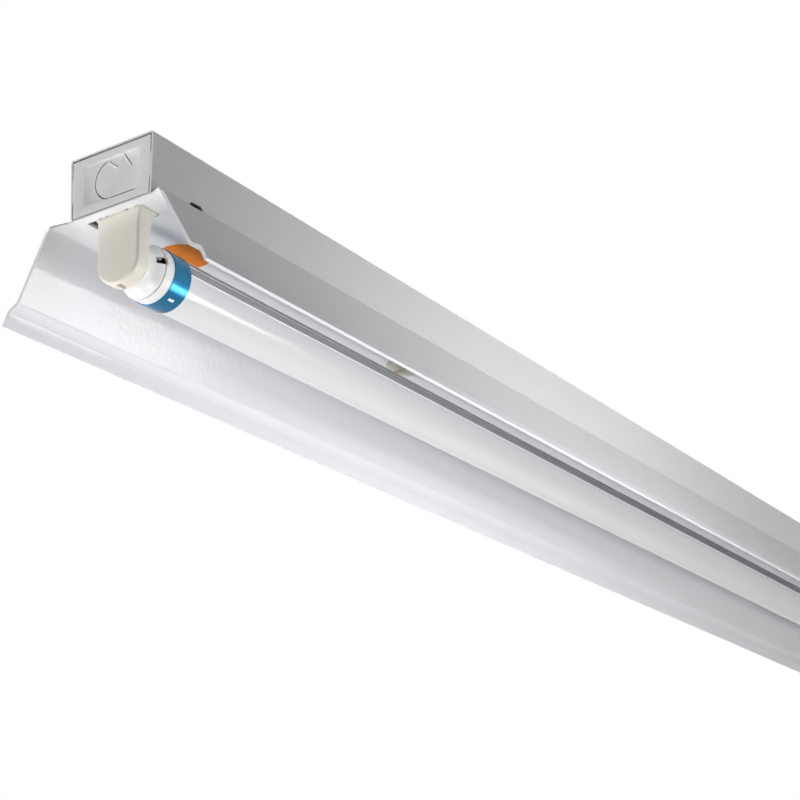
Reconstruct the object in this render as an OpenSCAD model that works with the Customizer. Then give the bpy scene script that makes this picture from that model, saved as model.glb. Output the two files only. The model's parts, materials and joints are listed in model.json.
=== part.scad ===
/* [Lamp] */
// Length of the lamp between its two cap faces, without the pins
lamp_len = 1199.4; // [589.8:2 foot, 894.6:3 foot, 1199.4:4 foot, 1500:5 foot]
// Outer diameter of the lamp
lamp_d = 26; // [25.2:0.1:26.4]
// Depth of the lamp's axis below the underside of the channel
lamp_drop = 22.9; // [20:0.1:25]
// Distance between the two pins at one end
pin_spacing = 12.7; // [12.3:0.1:13]
// Diameter of a pin
pin_d = 2.35; // [2:0.05:2.5]
// Length of a pin outside the cap
pin_len = 6.7; // [6:0.1:6.9]
// Length of the white cap between its face and the coloured ring
cap_len = 14.9; // [13:0.1:16]
// Length of the coloured ring
ring_len = 10.9; // [8:0.1:18]
// Height of the seam between metal back and diffuser above the axis
seam_rise = 1.6; // [1.2:0.1:3]

/* [Channel] */
// Width of the channel at its mounting face
channel_top_w = 48.2; // [47:0.2:54]
// Width of the channel where the reflector closes it
channel_bottom_w = 46.4; // [45:0.2:50]
// Height of the channel
channel_h = 30.2; // [28:0.2:40]
// Thickness of the sheet steel
sheet_t = 0.8; // [0.6:0.1:1]
// Width of the flanges that turn in at the bottom of the channel
flange_w = 5; // [4:0.5:6]
// Distance of each ceiling screw hole from the end of the channel
fixing_inset = 163.3; // [80:0.1:180]
// Diameter of a ceiling screw hole
fixing_hole_d = 6.5; // [4.5:0.5:8]
// Diameter of the cable entry and of the cable knockouts
knockout_d = 20; // [16:0.5:20.5]

/* [Reflector] */
// Length of reflector that sticks out past each end of the channel
overhang = 4.3; // [1:0.1:8]
// Width of the flat that lies under the channel
flat_w = 49; // [48:0.5:54]
// Width of the drooping shoulder beside the flat
shoulder_run = 7; // [5:0.1:10]
// Drop of the shoulder
shoulder_drop = 1.8; // [1:0.1:3]
// Width taken by one sloping wing
wing_run = 17.1; // [12:0.1:24]
// Drop of one sloping wing
wing_drop = 31.8; // [28:0.1:40]
// Width of the outward step below the wing
step_run = 5.5; // [3:0.1:8]
// Drop of the outward step
step_drop = 3.1; // [2:0.1:5]
// Width taken by the steep lip below the step
lip_run = 2.8; // [2:0.1:5]
// Drop of the steep lip
lip_drop = 6.3; // [5:0.1:10]

/* [Lampholder] */
// Distance of the holder's outer face from the end of the channel
holder_setback = 5.2; // [5:0.1:9]
// Depth of the holder along the lamp
holder_depth = 8; // [7.8:0.1:11]
// Width of the holder
holder_w = 24; // [22:0.2:27]
// Width of the holder's shoulders where it leaves the reflector
holder_shoulder_w = 26; // [25:0.1:28]
// Depth of the holder's shoulders along the lamp
holder_shoulder_depth = 12; // [10:0.1:12.6]
// Distance the holder reaches below the channel
holder_drop = 34.8; // [34:0.1:40]
// Diameter of the turning rotor
rotor_d = 17; // [16.2:0.1:18]
// Running clearance between lamp cap and holder
lamp_end_gap = 0.4; // [0.3:0.1:0.8]

/* [Latch] */
// Distance of each reflector latch from the end of the channel
latch_inset = 232.3; // [190:0.1:280]
// Length of the latch's grip
grip_len = 21.6; // [18:0.2:30]
// Width of the latch's grip
grip_w = 12; // [11:0.2:14]
// Diameter of the latch's neck
neck_d = 8; // [6:0.5:9]

/* [Sticker] */
// Diameter of the plain round sticker
sticker_d = 26; // [20:1:34]
// Distance of the sticker's centre from the end of the channel
sticker_inset = 56.6; // [45:0.1:80]
// Distance of the sticker's centre from the middle of the flat
sticker_offset = 5.5; // [-6:0.1:6]

/* [Hidden] */

// Smoothness of round faces, of small bends and of wires
$fn = 64;
bend_steps = 4;
wire_sides = 10;

// Overrun that lets a cut pass its faces
cut = 1;

// Fits shared by several pieces
seat_gap = 0.1;
side_gap = 0.3;
running_gap = 0.05;

// Finishes
white_paint = "#eef0f1";
ivory = "#d9d4c4";
warm_white = "#f4f4f2";
bare_steel = "#a9acae";
brass = "#c9a24a";
bare_aluminium = "#9b9d9c";
frosted = "#e4e6e8";
ring_blue = "#1f7fb0";
sticker_orange = "#e07a12";
board_white = "#f0f0ea";
board_green = "#2f6b45";

// Whole lengths and levels, with the mounting face at zero
channel_len = lamp_len + 2 * (lamp_end_gap + holder_depth + holder_setback);
reflector_len = channel_len + 2 * overhang;
flat_z = -channel_h;
lamp_z = flat_z - lamp_drop;
lamp_r = lamp_d / 2;
side_lean = (channel_top_w - channel_bottom_w) / 2;
side_tilt = atan(side_lean / channel_h);

// Channel details
bend_r = 2.4;
channel_bend_r = 0.9;
slot_inset = 30.4;
slot_len = 9;
slot_h = 3.6;
slot_rise = 4.7;
entry_offset = 70;
slit_w = 0.6;
// Start and sweep, in degrees, of the cuts that free a knockout but for its tabs
end_slit_angles = [[-85, 158]];
top_slit_angles = [[10, 160], [190, 160]];

// End plate details
plate_side_gap = 0.15;
plate_free_gap = 0.6;
plate_edge_gap = 0.3;
plate_top_gap = 0.9;
plate_low_gap = 0.5;
plate_fold = 9;
side_tab_low = 8.5;
side_tab_drop = 10;
top_tab_w = 26;
emboss_w = 33;
emboss_low = 4.6;
emboss_high = 25.2;
emboss_depth = 0.7;
emboss_slope = 1.2;
knockout_rise = 14.3;
end_slit_reach = 13.8;
// Ends of the pressed ridges beside the knockout, as shares of its diameter from its centre
ridge_shares = [[[0.08, 0.41], [-0.14, 0.23]], [[-0.34, 0.49], [-0.55, 0.16]]];
ridge_r = 0.6;
ridge_sink = 0.2;
rivet_inset = 4.6;
rivet_rise = 12.7;
rivet_d = 2.4;
rivet_head_d = 3.4;
rivet_head_h = 0.3;
rivet_tail_h = 0.8;

// Reflector details
hem_len = 3.2;
hem_start = 2.5;
lip_hem_h = 3.4;
cutout_side = 0.6;
cutout_wire_side = 5.1;
cutout_back = 0.6;
cutout_round = 1;
relief_len = 1.7;
relief_depth = 0.8;
// Places of the small notches along the cut-out's front edge, as shares of the shoulder's half width
relief_shares = [0.78, 0.455, -0.405, -0.87];

// Lampholder details
collar_t = 0.8;
flare_drop = 10;
holder_round = 1.6;
holder_front_round = 1.5;
flare_round_start = 2;
rim_end_len = 4;
rim_end_tilt = 12;
holder_wall = 1.1;
entry_slot_w = 2.8;
foot_w = 18;
foot_depth = 5.6;
foot_front = 1.2;
foot_rise = 8;
foot_hook = 1;
foot_hook_h = 2.4;
rotor_front = 0.7;
rotor_face_h = 0.4;
rotor_face_step = 1.5;
rotor_notch_d = 5;
rotor_bar_h = 2.5;
contact_w = 3;
contact_t = 0.4;
contact_low = 4;
contact_slack = 0.1;
contact_top_gap = 1;
wire_hole_d = 2.8;
wire_hole_depth = 4;
edge_round = 1;

// Holder bracket details
bracket_t = 1;
bracket_w = 26;
bracket_bend_r = 1.5;
bracket_flange = 14;
bracket_behind = 1;

// Latch details
bridge_t = 1;
bridge_len = 24;
grip_t = 1.6;
grip_fin_h = 1.8;
grip_fin_w = 3.2;
grip_fin_inset = 0.6;
cross_len = 15;
cross_w = 4;
cross_h = 2.4;
keyway_gap = 0.4;
keyway_angle = 45;

// Terminal block and earth stud details
block_len = 20;
block_pole = 9;
block_end = 2;
block_h = 14;
block_hole_d = 3.2;
block_hole_drop = 9;
block_groove = 1.2;
screw_d = 3.4;
screw_reach = 4;
screw_slot_w = 0.7;
screw_slot_h = 0.8;
screw_sink = 0.6;
screw_place = 5.4;
poles = 3;
stud_x = 46;
stud_d = 4;
stud_len = 11;
stud_base_d = 7;
stud_base_h = 1;
nut_w = 7;
nut_h = 3.2;
tag_d = 8;
tag_t = 0.8;
tag_neck = 6;
tag_neck_w = 4;

// Wires
wire_d = 2.2;
wire_top_gap = 0.3;
wire_lane = 18.6;
wire_enter = 3;

// Sticker
sticker_t = 0.15;

// Lamp details
back_wall = 1.2;
platform_t = 1.4;
diffuser_wall = 0.9;
diffuser_step = 0.1;
bead_r = 0.35;
groove_d = 0.7;
groove_angles = [28, 46, 64, 82, 98, 116, 134, 152];
neck_step = 2.5;
body_step = 0.4;
neck_len = 4.4;
cap_wall = 1.4;
cap_groove_w = 0.5;
cap_groove_depth = 0.4;
cap_flange_len = 5.3;
cap_cone_len = 4.6;
cap_notch_w = 3.8;
cap_notch_step = 0.2;
cap_notch_past = 1;
cap_notch_angle = 10;
cap_window_len = 3.8;
cap_window_w = 3;
ring_t = 0.42;
ring_gap = 0.03;
pin_root = 5;
pin_tip = 0.5;
pin_gap = 0.02;
board_w = 11;
board_t = 1;
board_margin = 16;
led_pitch = 24;
led_size = [3.5, 2.8, 0.7];
driver_len = 70;
driver_w = 13;
driver_t = 1.2;
coil_size = [14, 9, 5];
capacitor_d = 6;
capacitor_len = 16;
part_step = 20;

// Outline helpers: a strip of sheet follows a centre line with rounded bends
function unit(v) = v / norm(v);
function left_of(v) = [-v[1], v[0]];
function turn_of(a, b, c) =
  let (u = unit(b - a), w = unit(c - b))
  atan2(u[0] * w[1] - u[1] * w[0], u * w);
function bend_at(a, b, c, r) =
  let (
    turn = turn_of(a, b, c),
    side = sign(turn),
    u = unit(b - a),
    start = b - u * r * tan(abs(turn) / 2),
    centre = start + left_of(u) * r * side
  )
  [
    for (i = [0 : bend_steps])
      let (swing = turn * i / bend_steps, arm = start - centre)
      centre + [
        arm[0] * cos(swing) - arm[1] * sin(swing),
        arm[0] * sin(swing) + arm[1] * cos(swing)
      ]
  ];
function bent(points, r) = [
  points[0],
  for (i = [1 : len(points) - 2]) each bend_at(points[i - 1], points[i], points[i + 1], r),
  points[len(points) - 1]
];
function beside(path, i, d) =
  let (
    last = len(path) - 1,
    u = unit(path[min(i + 1, last)] - path[min(i, last - 1)]),
    w = unit(path[max(i, 1)] - path[max(i - 1, 0)]),
    middle = unit(left_of(u) + left_of(w))
  )
  path[i] + middle * d / (middle * left_of(u));
function strip(path, low, high) = concat(
  [for (i = [0 : len(path) - 1]) beside(path, i, low)],
  [for (i = [len(path) - 1 : -1 : 0]) beside(path, i, high)]
);
function mirrored(points) = [for (i = [len(points) - 1 : -1 : 0]) [-points[i][0], points[i][1]]];

// Channel walls lean in towards the bottom
function wall_y(depth, inset) =
  channel_top_w / 2 - side_lean * depth / channel_h - inset / cos(side_tilt);

// Outline across the channel between two levels, at a given inset from its outer walls
module plate_outline(inset, low, top) {
  polygon([
    [-wall_y(channel_h - low, inset), flat_z + low],
    [wall_y(channel_h - low, inset), flat_z + low],
    [wall_y(top, inset), -top],
    [-wall_y(top, inset), -top]
  ]);
}

// Placement helpers
module from_end(start, length) {
  translate([start, 0, 0])
    rotate([90, 0, 90])
      linear_extrude(length)
        children();
}
module full_length(length) {
  from_end(-length / 2, length)
    children();
}
module at_near_end() {
  translate([-channel_len / 2, 0, 0])
    children();
}
module at_far_end() {
  mirror([1, 0, 0])
    at_near_end()
      children();
}
module at_both_ends() {
  at_near_end()
    children();
  at_far_end()
    children();
}
module on_both_sides() {
  children();
  mirror([0, 1, 0])
    children();
}

// Cuts that leave a round plate hanging on small tabs, on an axis along Z
module knockout_slits(depth, angles) {
  for (angle = angles)
    rotate([0, 0, angle[0]])
      rotate_extrude(angle = angle[1])
        translate([knockout_d / 2 - slit_w, -depth / 2])
          square([slit_w, depth]);
}

// Folded steel channel, open below between two turned-in flanges
function channel_half() =
  let (low = flat_z + sheet_t / 2, middle = sheet_t / 2)
  [
    [wall_y(channel_h, flange_w), low],
    [wall_y(channel_h - middle, middle), low],
    [wall_y(middle, middle), -middle]
  ];
module side_slot() {
  for (x = [-1, 1])
    translate([x * (slot_len - slot_h) / 2, 0, 0])
      rotate([90, 0, 0])
        cylinder(h = channel_top_w, d = slot_h, center = true);
  cube([slot_len - slot_h, channel_top_w, slot_h], center = true);
}
module channel_housing() {
  path = bent(concat(channel_half(), mirrored(channel_half())), channel_bend_r);
  color(white_paint)
    difference() {
      full_length(channel_len)
        polygon(strip(path, -sheet_t / 2, sheet_t / 2));
      at_both_ends() {
        from_end(-cut, sheet_t + plate_edge_gap + cut)
          plate_outline(sheet_t, -cut, channel_h / 2);
        translate([slot_inset, 0, flat_z + slot_rise])
          side_slot();
        translate([fixing_inset, 0, -sheet_t - cut])
          cylinder(h = sheet_t + 2 * cut, d = fixing_hole_d);
        on_both_sides()
          rivet_place()
            cylinder(h = 2 * rivet_head_d, d = rivet_d, center = true);
      }
      translate([-entry_offset, 0, -sheet_t / 2])
        knockout_slits(sheet_t + 2 * cut, top_slit_angles);
      translate([entry_offset, 0, -sheet_t - cut])
        cylinder(h = sheet_t + 2 * cut, d = knockout_d);
    }
}

// Pressed end plate: folded tabs between the walls, a sunk panel and a round knockout
module sunk_panel(face) {
  panel_h = emboss_high - emboss_low;
  translate([face, 0, flat_z + emboss_low + panel_h / 2])
    intersection() {
      rotate([90, 0, 0])
        linear_extrude(emboss_w + 2 * cut, center = true)
          polygon([
            [0, -panel_h / 2],
            [emboss_depth, -panel_h / 2 + emboss_slope],
            [emboss_depth, panel_h / 2 - emboss_slope],
            [0, panel_h / 2],
            [-sheet_t, panel_h / 2],
            [-sheet_t, -panel_h / 2]
          ]);
      linear_extrude(panel_h + 2 * cut, center = true)
        polygon([
          [0, -emboss_w / 2],
          [emboss_depth, -emboss_w / 2 + emboss_slope],
          [emboss_depth, emboss_w / 2 - emboss_slope],
          [0, emboss_w / 2],
          [-sheet_t, emboss_w / 2],
          [-sheet_t, -emboss_w / 2]
        ]);
    }
}
module ridge(ends) {
  from = knockout_d * ends[0];
  run = knockout_d * (ends[1] - ends[0]);
  translate([emboss_depth + ridge_sink, from[0], flat_z + knockout_rise + from[1]])
    rotate([atan2(run[1], run[0]) - 90, 0, 0]) {
      sphere(r = ridge_r);
      cylinder(h = norm(run), r = ridge_r);
      translate([0, 0, norm(run)])
        sphere(r = ridge_r);
    }
}
module end_plate() {
  inset = sheet_t + plate_side_gap;
  top = sheet_t + plate_top_gap;
  through = 2 * (sheet_t + emboss_depth + cut);
  difference() {
    union() {
      from_end(0, sheet_t)
        plate_outline(sheet_t + plate_free_gap, plate_low_gap, top);
      difference() {
        from_end(0, plate_fold)
          plate_outline(inset, side_tab_low, side_tab_drop);
        from_end(sheet_t, plate_fold)
          plate_outline(inset + sheet_t, -cut, -cut);
      }
      translate([0, -top_tab_w / 2, -top - sheet_t])
        cube([plate_fold, top_tab_w, sheet_t]);
      sunk_panel(sheet_t);
    }
    sunk_panel(0);
    translate([0, 0, flat_z + knockout_rise])
      rotate([90, 0, 90])
        knockout_slits(through, end_slit_angles);
    translate([-through / 2, -end_slit_reach, flat_z + knockout_rise - knockout_d / 2])
      cube([through, end_slit_reach, slit_w]);
    on_both_sides()
      rivet_place()
        cylinder(h = 2 * rivet_head_d, d = rivet_d, center = true);
  }
  for (ends = ridge_shares)
    ridge(ends);
}
module end_plate_near() {
  color(white_paint)
    at_near_end()
      end_plate();
}
module end_plate_far() {
  color(white_paint)
    at_far_end()
      end_plate();
}

// Domed rivets through channel wall and folded edge, seen from an end of the channel
module rivet_place() {
  depth = channel_h - rivet_rise;
  translate([rivet_inset, -wall_y(depth, 0), -depth])
    rotate([90 + side_tilt, 0, 0])
      children();
}
module rivet() {
  grip = 2 * sheet_t + plate_side_gap;
  dome_r = (pow(rivet_head_d / 2, 2) + pow(rivet_head_h, 2)) / (2 * rivet_head_h);
  intersection() {
    translate([0, 0, rivet_head_h - dome_r])
      sphere(r = dome_r);
    cylinder(h = rivet_head_h, d = rivet_head_d);
  }
  translate([0, 0, -grip])
    cylinder(h = grip, d = rivet_d - 2 * pin_gap);
  translate([0, 0, -grip - rivet_tail_h])
    cylinder(h = rivet_tail_h, d1 = rivet_d, d2 = rivet_head_d);
}
module end_plate_rivets() {
  color(white_paint)
    at_both_ends()
      on_both_sides()
        rivet_place()
          rivet();
}

// Folded bracket under the channel's top that holds one lampholder's foot
bracket_x = holder_setback + holder_depth + bracket_behind;
module holder_bracket() {
  half = bracket_t / 2;
  high = -sheet_t - half;
  low = flat_z + half;
  path = bent([
    [bracket_x + bracket_flange, high],
    [bracket_x, high],
    [bracket_x, low],
    [holder_setback, low]
  ], bracket_bend_r);
  difference() {
    rotate([90, 0, 0])
      linear_extrude(bracket_w, center = true)
        polygon(strip(path, -half, half));
    translate([holder_setback + foot_front - seat_gap, -foot_w / 2 - seat_gap, flat_z - cut])
      cube([foot_depth + 2 * seat_gap, foot_w + 2 * seat_gap, bracket_t + 2 * cut]);
  }
}
module holder_bracket_near() {
  color(bare_steel)
    at_near_end()
      holder_bracket();
}
module holder_bracket_far() {
  color(bare_steel)
    at_far_end()
      holder_bracket();
}

// Upright lampholder with flared shoulders, a round foot end and a turning rotor
bore_d = rotor_d + 2 * running_gap;
holder_inner = holder_setback + holder_depth;
holder_curve_steps = 8;
function fillet_shares() = [
  for (i = [0 : holder_curve_steps])
    let (a = 90 * i / holder_curve_steps)
    [1 - sin(a), 1 - cos(a)]
];
function holder_flare() =
  let (flare = (holder_shoulder_w - holder_w) / 2)
  [
    for (share = fillet_shares())
      [holder_w / 2 + flare * share[0], flat_z - collar_t - flare_drop * share[1]]
  ];
module holder_front() {
  round_z = flat_z - holder_drop + holder_w / 2;
  curve = holder_flare();
  translate([0, round_z])
    circle(d = holder_w);
  translate([-holder_w / 2, round_z])
    square([holder_w, flat_z - round_z]);
  translate([-holder_shoulder_w / 2, flat_z - collar_t])
    square([holder_shoulder_w, collar_t]);
  polygon(concat(curve, mirrored(curve)));
}
module holder_side() {
  flare = holder_shoulder_depth - holder_depth;
  polygon(concat(
    [
      [holder_setback, flat_z - holder_drop - cut],
      [holder_setback, flat_z],
      [holder_setback + holder_shoulder_depth, flat_z]
    ],
    [
      for (share = fillet_shares())
        [holder_inner + flare * share[0], flat_z - collar_t - flare_drop * share[1]]
    ],
    [[holder_inner, flat_z - holder_drop - cut]]
  ));
}
module rim_waste(r) {
  difference() {
    square(r + cut);
    circle(r = r);
  }
}
module holder_rim(r) {
  round_z = flat_z - holder_drop + holder_w / 2;
  flare_z = flat_z - collar_t - flare_drop;
  translate([0, 0, round_z])
    rotate([0, 90, 0])
      rotate([0, 0, -90])
        rotate_extrude(angle = 180)
          translate([holder_w / 2 - r, -r])
            rim_waste(r);
  on_both_sides()
    translate([-r, holder_w / 2 - r, round_z])
      linear_extrude(flare_z - round_z)
        rim_waste(r);
}
module rim_end(r) {
  flare_z = flat_z - collar_t - flare_drop;
  on_both_sides()
    translate([-r, holder_w / 2 - r, flare_z])
      rotate([-rim_end_tilt, rim_end_tilt, 0])
        linear_extrude(rim_end_len)
          rim_waste(r);
}
module flare_rim(r) {
  curve = holder_flare();
  arc = [
    for (i = [0 : bend_steps])
      let (a = 90 * i / bend_steps)
      [r * cos(a), r * sin(a)]
  ];
  on_both_sides()
    for (i = [flare_round_start : holder_curve_steps - 1])
      let (rise = curve[i] - curve[i + 1])
        translate([-r, curve[i + 1][0], curve[i + 1][1]])
          rotate([-atan2(rise[0], rise[1]), 0, 0])
            translate([0, -r, -seat_gap])
              linear_extrude(norm(rise) + 2 * seat_gap)
                polygon(concat(arc, [[0, r + cut], [r + cut, r + cut], [r + cut, 0]]));
}
module lampholder_body() {
  foot_x = holder_setback + foot_front;
  hook_z = flat_z + bracket_t + seat_gap;
  slot_depth = holder_depth - holder_wall;
  difference() {
    union() {
      intersection() {
        from_end(holder_setback, holder_shoulder_depth)
          holder_front();
        rotate([90, 0, 0])
          linear_extrude(holder_shoulder_w + 2 * cut, center = true)
            holder_side();
      }
      translate([foot_x, -foot_w / 2, flat_z - seat_gap])
        cube([foot_depth, foot_w, foot_rise + seat_gap]);
      on_both_sides()
        translate([foot_x, foot_w / 2, hook_z])
          rotate([90, 0, 90])
            linear_extrude(foot_depth)
                polygon([[-cut, 0], [foot_hook, 0], [0, foot_hook_h], [-cut, foot_hook_h]]);
    }
    translate([holder_inner, 0, 0]) {
      holder_rim(holder_round);
      rim_end(holder_round);
    }
    translate([holder_setback, 0, 0])
      mirror([1, 0, 0]) {
        holder_rim(holder_front_round);
        flare_rim(holder_front_round);
      }
    translate([holder_inner - slot_depth, 0, lamp_z])
      rotate([0, 90, 0])
        cylinder(h = holder_shoulder_depth, d = bore_d);
    translate([holder_inner - slot_depth, -entry_slot_w / 2, flat_z - holder_drop - cut])
      cube([slot_depth + cut, entry_slot_w, holder_drop - lamp_drop + cut]);
    for (y = [-1, 1]) {
      translate([
        holder_setback + holder_wall,
        y * pin_spacing / 2 - contact_w / 2 - contact_slack,
        lamp_z - contact_low
      ])
        cube([
          contact_t + 2 * contact_slack,
          contact_w + 2 * contact_slack,
          lamp_drop + foot_rise - contact_top_gap + contact_low
        ]);
      translate([foot_x + foot_depth / 2, y * pin_spacing / 2, flat_z + foot_rise - wire_hole_depth])
        cylinder(h = wire_hole_depth + cut, d = wire_hole_d);
    }
  }
}
module lampholder_body_near() {
  color(ivory)
    at_near_end()
      lampholder_body();
}
module lampholder_body_far() {
  color(ivory)
    at_far_end()
      lampholder_body();
}

// Brass strips that reach from the wire entry down to the pin ends
module lampholder_contacts() {
  for (y = [-1, 1])
    translate([
      holder_setback + holder_wall,
      y * pin_spacing / 2 - contact_w / 2,
      lamp_z - contact_low
    ])
      cube([contact_t, contact_w, lamp_drop + foot_rise - 2 * contact_top_gap + contact_low]);
}
module lampholder_contacts_near() {
  color(brass)
    at_near_end()
      lampholder_contacts();
}
module lampholder_contacts_far() {
  color(brass)
    at_far_end()
      lampholder_contacts();
}

// Rotor that takes the pins in a slot on both sides of its bar and turns with the lamp
module lampholder_rotor() {
  back = holder_setback + holder_wall + contact_t + 2 * contact_slack;
  length = holder_inner - rotor_front - back;
  slot_w = pin_d + 2 * running_gap;
  bar_d = pin_spacing - pin_d - 2 * running_gap;
  translate([back, 0, lamp_z]) {
    difference() {
      union() {
        rotate([0, 90, 0])
          cylinder(h = length, d = rotor_d);
        translate([length, 0, 0])
          rotate([0, 90, 0])
            cylinder(h = rotor_face_h, d1 = rotor_d - 2 * rotor_face_step, d2 = bar_d);
      }
      translate([-cut, -rotor_d / 2 - cut, -slot_w / 2])
        cube([length + rotor_face_h + 2 * cut, rotor_d + 2 * cut, slot_w]);
      for (z = [-1, 1])
        translate([-cut, 0, z * rotor_d / 2])
          rotate([0, 90, 0])
            cylinder(h = length + 2 * cut, d = rotor_notch_d);
    }
    intersection() {
      rotate([0, 90, 0])
        cylinder(h = rotor_bar_h, d = bar_d);
      translate([0, -bar_d / 2, -slot_w / 2])
        cube([rotor_bar_h, bar_d, slot_w]);
    }
  }
}
module lampholder_rotor_near() {
  color(warm_white)
    at_near_end()
      lampholder_rotor();
}
module lampholder_rotor_far() {
  color(warm_white)
    at_far_end()
      lampholder_rotor();
}

// Reflector: flat, drooping shoulders, wings, outward steps and steep hemmed lips
function reflector_half() =
  let (
    flat = [flat_w / 2, flat_z - sheet_t / 2],
    shoulder = flat + [shoulder_run, -shoulder_drop],
    wing = shoulder + [wing_run, -wing_drop],
    ledge = wing + [step_run, -step_drop],
    tip = ledge + [lip_run, -lip_drop]
  )
  [tip, ledge, wing, shoulder, flat];
function lip_hem_start() =
  let (tip = reflector_half()[0], ledge = reflector_half()[1])
  tip + unit(ledge - tip) * lip_hem_h;
module holder_cutout() {
  half = holder_shoulder_w / 2;
  narrow = -half - cutout_side;
  wide = half + cutout_wire_side;
  front = holder_setback - seat_gap;
  back = holder_setback + holder_shoulder_depth + cutout_back;
  translate([0, 0, flat_z - sheet_t - cut])
    linear_extrude(sheet_t + 2 * cut) {
      polygon([
        [front, narrow],
        [front, wide],
        [back - cutout_round, wide],
        [back, wide - cutout_round],
        [back, narrow + cutout_round],
        [back - cutout_round, narrow]
      ]);
      for (share = relief_shares)
        translate([front - relief_depth, share * half - relief_len / 2])
          square([2 * relief_depth, relief_len]);
    }
}
module flat_end_cut() {
  inner = flat_w / 2;
  outer = inner + shoulder_run;
  height = shoulder_drop + 2 * (sheet_t + cut);
  translate([0, 0, flat_z + cut - height])
    linear_extrude(height)
      polygon([
        [0, -inner],
        [0, inner],
        [-overhang, outer],
        [-overhang - cut, outer],
        [-overhang - cut, -outer],
        [-overhang, -outer]
      ]);
}
module keyway(length, width, height) {
  cube([length, width, height], center = true);
}
module reflector() {
  half = reflector_half();
  path = bent(concat(half, mirrored(half)), bend_r);
  hem_end = half[3] + unit(half[2] - half[3]) * hem_start;
  wing_path = bent([half[0], half[1], half[2], hem_end], bend_r);
  color(white_paint)
    difference() {
      union() {
        full_length(reflector_len)
          polygon(strip(path, -sheet_t / 2, sheet_t / 2));
        on_both_sides()
          full_length(reflector_len)
            polygon(strip([half[0], lip_hem_start()], -3 * sheet_t / 2, sheet_t / 2));
        for (x = [-1, 1])
          on_both_sides()
            translate([x * (reflector_len - hem_len) / 2, 0, 0])
              full_length(hem_len)
                polygon(strip(wing_path, -3 * sheet_t / 2, sheet_t / 2));
      }
      at_both_ends() {
        flat_end_cut();
        holder_cutout();
        translate([latch_inset, 0, flat_z - sheet_t / 2]) {
          cylinder(h = sheet_t + 2 * cut, d = neck_d + 2 * running_gap, center = true);
          rotate([0, 0, keyway_angle])
            keyway(cross_len + keyway_gap, cross_w + keyway_gap, sheet_t + 2 * cut);
        }
      }
    }
}

// Strap across the channel's flanges with the keyed hole that a latch locks behind
module latch_bridge() {
  low = channel_h - sheet_t;
  half = wall_y(low - bridge_t, sheet_t + side_gap) - side_lean * bridge_t / channel_h;
  edge = half - side_lean * sheet_t / channel_h - bend_r + sheet_t / 2;
  translate([latch_inset, 0, flat_z + sheet_t])
    difference() {
      translate([-bridge_len / 2, -edge, 0])
        cube([bridge_len, 2 * edge, bridge_t]);
      translate([0, 0, bridge_t / 2]) {
        cylinder(h = bridge_t + 2 * cut, d = neck_d + 2 * side_gap, center = true);
        keyway(cross_len + keyway_gap, cross_w + keyway_gap, bridge_t + 2 * cut);
      }
    }
}
module latch_bridge_near() {
  color(bare_steel)
    at_near_end()
      latch_bridge();
}
module latch_bridge_far() {
  color(bare_steel)
    at_far_end()
      latch_bridge();
}

// Quarter-turn latch: oblong grip with a finger fin, round neck and a cross bar above the bridge
module latch() {
  grip_top = flat_z - sheet_t - side_gap;
  bar_low = flat_z + sheet_t + bridge_t + side_gap;
  translate([latch_inset, 0, 0]) {
    translate([0, 0, grip_top - grip_t]) {
      for (x = [-1, 1])
        translate([x * (grip_len - grip_w) / 2, 0, 0])
          cylinder(h = grip_t, d = grip_w);
      translate([-(grip_len - grip_w) / 2, -grip_w / 2, 0])
        cube([grip_len - grip_w, grip_w, grip_t]);
      rotate([90, 0, 90])
        linear_extrude(grip_fin_w, center = true)
          polygon([
            [grip_fin_inset - grip_w / 2, 0],
            [grip_fin_inset + grip_fin_h - grip_w / 2, -grip_fin_h],
            [grip_w / 2 - grip_fin_inset - grip_fin_h, -grip_fin_h],
            [grip_w / 2 - grip_fin_inset, 0]
          ]);
    }
    translate([0, 0, grip_top])
      cylinder(h = bar_low - grip_top, d = neck_d);
    intersection() {
      translate([0, 0, bar_low + cross_h / 2])
        cube([cross_w, cross_len, cross_h], center = true);
      translate([0, 0, bar_low])
        cylinder(h = cross_h, d = cross_len);
    }
  }
}
module latch_near() {
  color(ivory)
    at_near_end()
      latch();
}
module latch_far() {
  color(ivory)
    at_far_end()
      latch();
}

// Three-pole terminal block under the channel's top
block_w = poles * block_pole + 2 * block_end;
function pole_y(i) = (i - (poles - 1) / 2) * block_pole;
module terminal_block() {
  color(warm_white)
    translate([0, 0, -sheet_t])
      difference() {
        translate([-block_len / 2, -block_w / 2, -block_h])
          cube([block_len, block_w, block_h]);
        for (i = [0 : poles - 1])
          translate([0, pole_y(i), 0]) {
            translate([0, 0, -block_hole_drop])
              rotate([0, 90, 0])
                cylinder(h = block_len + 2 * cut, d = block_hole_d, center = true);
            for (x = [-1, 1])
              translate([x * screw_place, 0, -block_h - cut])
                cylinder(h = screw_reach + cut, d = screw_d);
          }
        for (i = [1 : poles - 1])
          translate([0, pole_y(i) - block_pole / 2, -block_h])
            cube([block_len + 2 * cut, block_groove, 2 * block_groove], center = true);
      }
}
module terminal_screws() {
  color(brass)
    for (i = [0 : poles - 1], x = [-1, 1])
      translate([x * screw_place, pole_y(i), -sheet_t - block_h + screw_sink])
        difference() {
          cylinder(h = screw_reach - screw_sink, d = screw_d - 2 * seat_gap);
          translate([0, 0, screw_slot_h / 2])
            cube([screw_d + cut, screw_slot_w, screw_slot_h], center = true);
        }
}

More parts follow.
